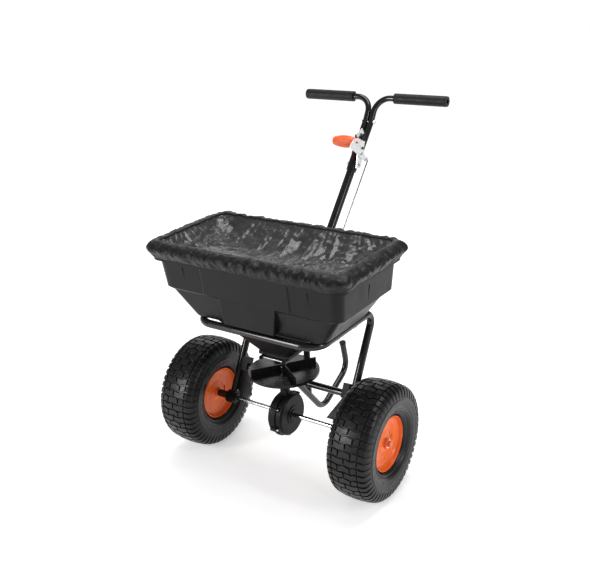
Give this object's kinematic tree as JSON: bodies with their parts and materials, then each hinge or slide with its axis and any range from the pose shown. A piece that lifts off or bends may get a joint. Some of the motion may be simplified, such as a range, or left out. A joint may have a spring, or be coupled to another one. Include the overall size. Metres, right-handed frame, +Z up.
{
  "type": "garden spreader",
  "caption": "Walk-behind broadcast spreader: hopper with rain cover on a bent tube frame, gear-driven spinner disc, pneumatic wheels, T handle and flow lever.",
  "frame": {"origin": "on the ground, under the middle of the machine's bounding box", "axes": "+X to the right-hand wheel, +Y to the handle, +Z up; the hopper's front faces -Y"},
  "size_m": [0.703, 0.7365, 0.9935],
  "materials": {
    "black_hopper": "moulded satin black polyethylene",
    "black_plastic": "satin black moulded plastic",
    "black_gloss": "glossy black moulded plastic",
    "black_paint": "gloss black powder coat on steel tube",
    "orange_paint": "gloss orange powder coat on pressed steel",
    "orange_plastic": "satin orange moulded plastic",
    "zinc": "bright zinc-plated steel",
    "bright_steel": "bright drawn steel",
    "dark_steel": "blackened steel",
    "gear_metal": "sintered and greased gear metal",
    "nylon": "natural nylon",
    "tyre": "black tyre rubber",
    "valve": "black rubber valve stem",
    "grip": "matte black vinyl grip",
    "vinyl": "thin smoky translucent vinyl sheet",
    "hem": "gathered black vinyl hem with elastic"
  },
  "bodies": {
    "frame": {"hopper": "black_hopper", "hopper_bolts": "zinc", "shaft_bush": "nylon", "gate_track": "black_plastic", "crank_pin": "zinc", "frame_loop": "black_paint", "rear_crossbar": "black_paint", "lower_crossbar": "black_paint", "crossbar_clamps": "black_plastic", "leg_gussets": "black_plastic", "axle_bearing_right": "black_plastic", "axle_bearing_left": "black_plastic", "stand_tube": "black_paint", "stand_cap": "black_plastic", "stand_strut": "black_paint", "upright": "black_paint", "handlebar_right": "black_paint", "handlebar_left": "black_paint", "grip_right": "grip", "grip_left": "grip", "handlebar_bolts": "zinc", "flow_bracket": "zinc", "lever_pivot_bolt": "zinc", "gearbox_right": "black_plastic", "gearbox_left": "black_plastic", "gearbox_screws": "zinc"},
    "cover": {"rain_cover": "vinyl", "cover_hem": "hem"},
    "shutter": {"shutter": "zinc"},
    "crank": {"gate_crank": "zinc"},
    "rod": {"control_rod": "bright_steel"},
    "lever": {"flow_lever": "zinc", "lever_rivet": "dark_steel", "lever_grip": "orange_plastic"},
    "stop": {"stop_knob": "black_plastic", "stop_block": "black_plastic"},
    "spinner": {"spinner_disc": "black_gloss", "spinner_shaft": "bright_steel", "spinner_pin": "zinc", "agitator": "zinc", "pinion": "gear_metal"},
    "drive_axle": {"ring_gear": "gear_metal", "axle": "bright_steel", "axle_spacers": "dark_steel", "axle_washers": "zinc", "axle_caps": "orange_plastic", "drive_pin": "zinc", "rim_right": "orange_paint", "tyre_right": "tyre", "hub_bushes_right": "nylon", "valve_right": "valve"},
    "left_wheel": {"rim_left": "orange_paint", "tyre_left": "tyre", "hub_bushes_left": "nylon", "valve_left": "valve"}
  },
  "joints": [
    {"name": "axle_spin", "type": "hinge", "parent": "frame", "child": "drive_axle", "pos_m": [0, -0.184, 0.165], "axis": [1, 0, 0], "continuous": true},
    {"name": "left_wheel_spin", "type": "hinge", "parent": "drive_axle", "child": "left_wheel", "pos_m": [-0.288, -0.184, 0.165], "axis": [1, 0, 0], "continuous": true},
    {"name": "spinner_spin", "type": "hinge", "parent": "frame", "child": "spinner", "pos_m": [0, -0.184, 0.302], "axis": [0, 0, 1], "continuous": true},
    {"name": "lever_swing", "type": "hinge", "parent": "frame", "child": "lever", "pos_m": [0.0226, 0.233, 0.834], "axis": [1, 0, 0], "range_deg": [0, 38]},
    {"name": "rod_swing", "type": "hinge", "parent": "lever", "child": "rod", "pos_m": [0.0226, 0.26, 0.812], "axis": [1, 0, 0], "range_deg": [-38, 0.5]},
    {"name": "crank_swing", "type": "hinge", "parent": "frame", "child": "crank", "pos_m": [0.024, -0.066, 0.3897], "axis": [1, 0, 0], "range_deg": [-42, 0.5]},
    {"name": "shutter_slide", "type": "slide", "parent": "frame", "child": "shutter", "axis": [0, -1, 0], "range_m": [0, 0.018]},
    {"name": "stop_slide", "type": "slide", "parent": "frame", "child": "stop", "axis": [0, 1, 0], "range_m": [0, 0.01]},
    {"name": "cover_lift", "type": "slide", "parent": "frame", "child": "cover", "axis": [0, 0, 1], "range_m": [0, 0.25]}
  ],
  "couplings": [
    {"joint": "spinner_spin", "follows": "axle_spin", "ratio": -4},
    {"joint": "rod_swing", "follows": "lever_swing", "ratio": -0.9853},
    {"joint": "crank_swing", "follows": "lever_swing", "ratio": -1.0947},
    {"joint": "shutter_slide", "follows": "lever_swing", "m_per_rad": 0.026386}
  ]
}
